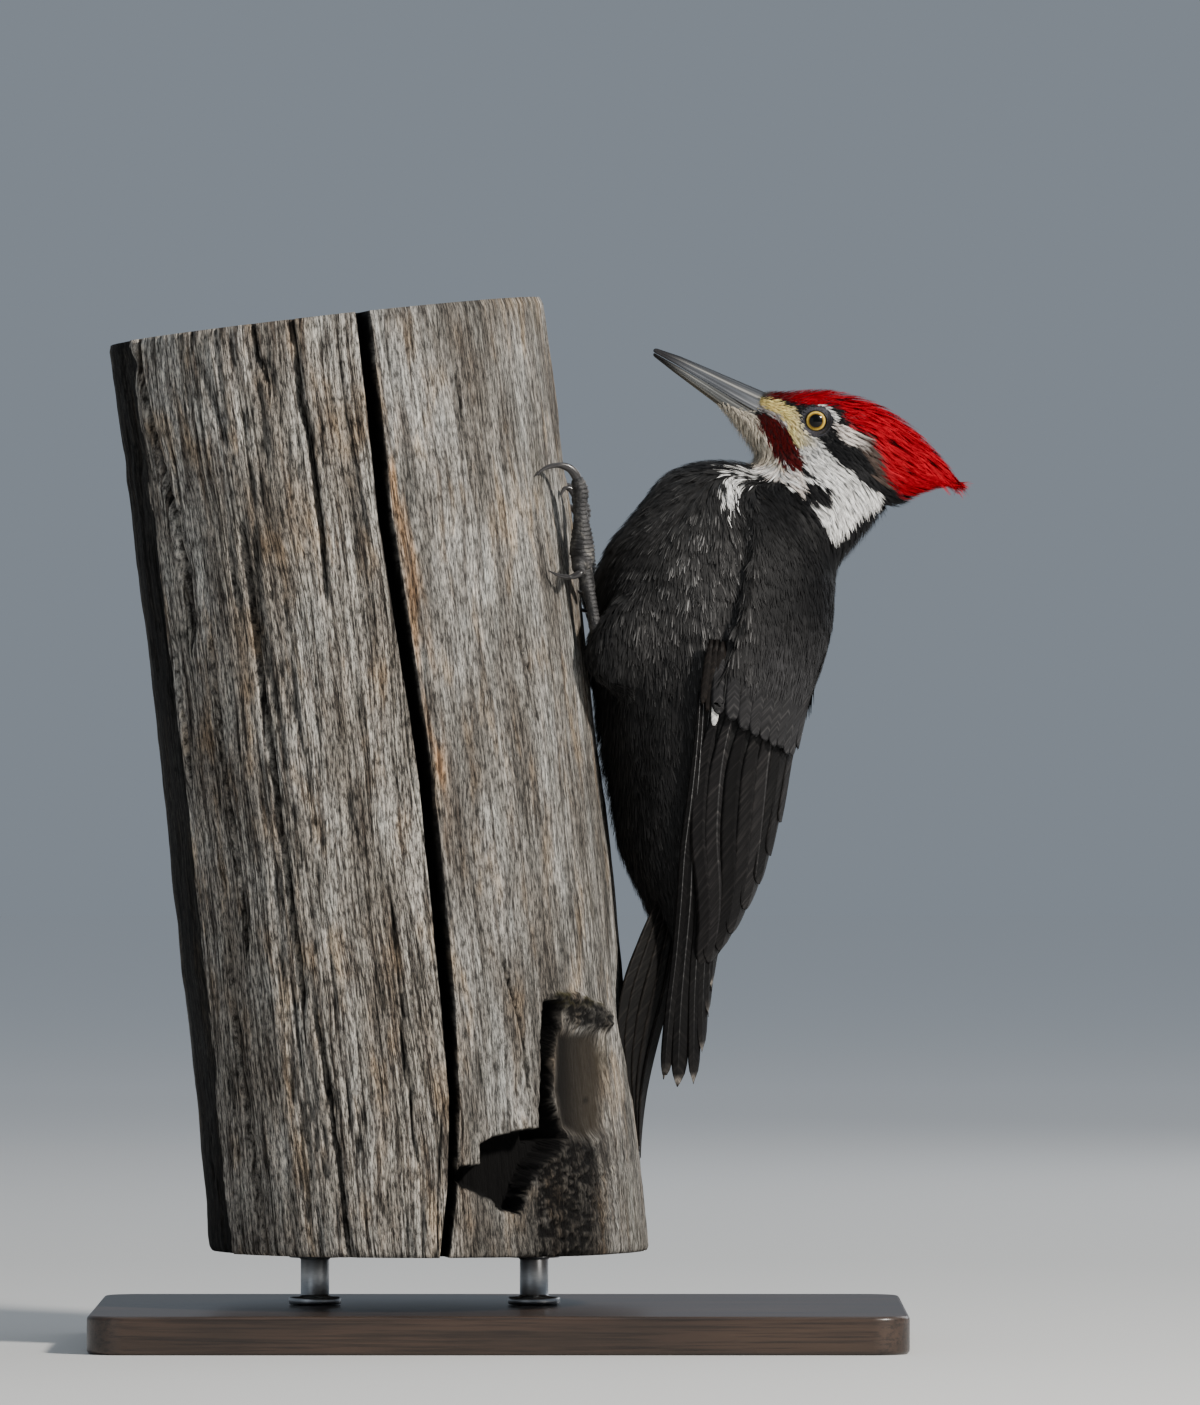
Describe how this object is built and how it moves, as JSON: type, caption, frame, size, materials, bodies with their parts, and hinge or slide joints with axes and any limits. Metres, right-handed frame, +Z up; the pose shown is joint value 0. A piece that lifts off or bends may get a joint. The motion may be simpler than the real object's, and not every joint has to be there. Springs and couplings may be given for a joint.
{
  "type": "pileated woodpecker",
  "caption": "Life-size red-crested woodpecker clinging upright to a cut length of weathered trunk, on a flat display stand.",
  "frame": {"origin": "centre of the stand's underside", "axes": "+Z up, along the trunk; the bird faces -X with its belly to the trunk and its crest towards +X; its left side faces -Y; the bird's middle plane is Y = 0"},
  "size_m": [0.3647, 0.23, 0.4395],
  "materials": {
    "board": "dark stained, satin",
    "steel": "brushed",
    "weathered_wood": "bare, silvered and cracked",
    "black_plumage": "sooty black feathers, soft sheen",
    "face_plumage": "white, black and dark red feathers",
    "crest_plumage": "scarlet hair-like feathers",
    "bill_horn": "slate horn, satin",
    "eye": "golden iris, wet gloss",
    "scaled_skin": "grey scales",
    "claw_horn": "dark horn, satin"
  },
  "bodies": {
    "root": {"bill_lower": "bill_horn", "bill_upper": "bill_horn", "claw_left_hallux": "claw_horn", "claw_left_inner": "claw_horn", "claw_left_middle": "claw_horn", "claw_left_outer": "claw_horn", "claw_right_hallux": "claw_horn", "claw_right_inner": "claw_horn", "claw_right_middle": "claw_horn", "claw_right_outer": "claw_horn", "crest": "crest_plumage", "eye_left": "eye", "eye_right": "eye", "foot_left": "scaled_skin", "foot_right": "scaled_skin", "head": "face_plumage", "neck": "face_plumage", "perch_trunk": "weathered_wood", "primaries_left": "black_plumage", "primaries_right": "black_plumage", "stand_base": "board", "stand_rod_back": "steel", "stand_rod_front": "steel", "tail": "black_plumage", "tarsus_left": "scaled_skin", "tarsus_right": "scaled_skin", "thigh_left": "black_plumage", "thigh_right": "black_plumage", "torso": "black_plumage", "wing_left": "black_plumage", "wing_right": "black_plumage"}
  },
  "joints": []
}
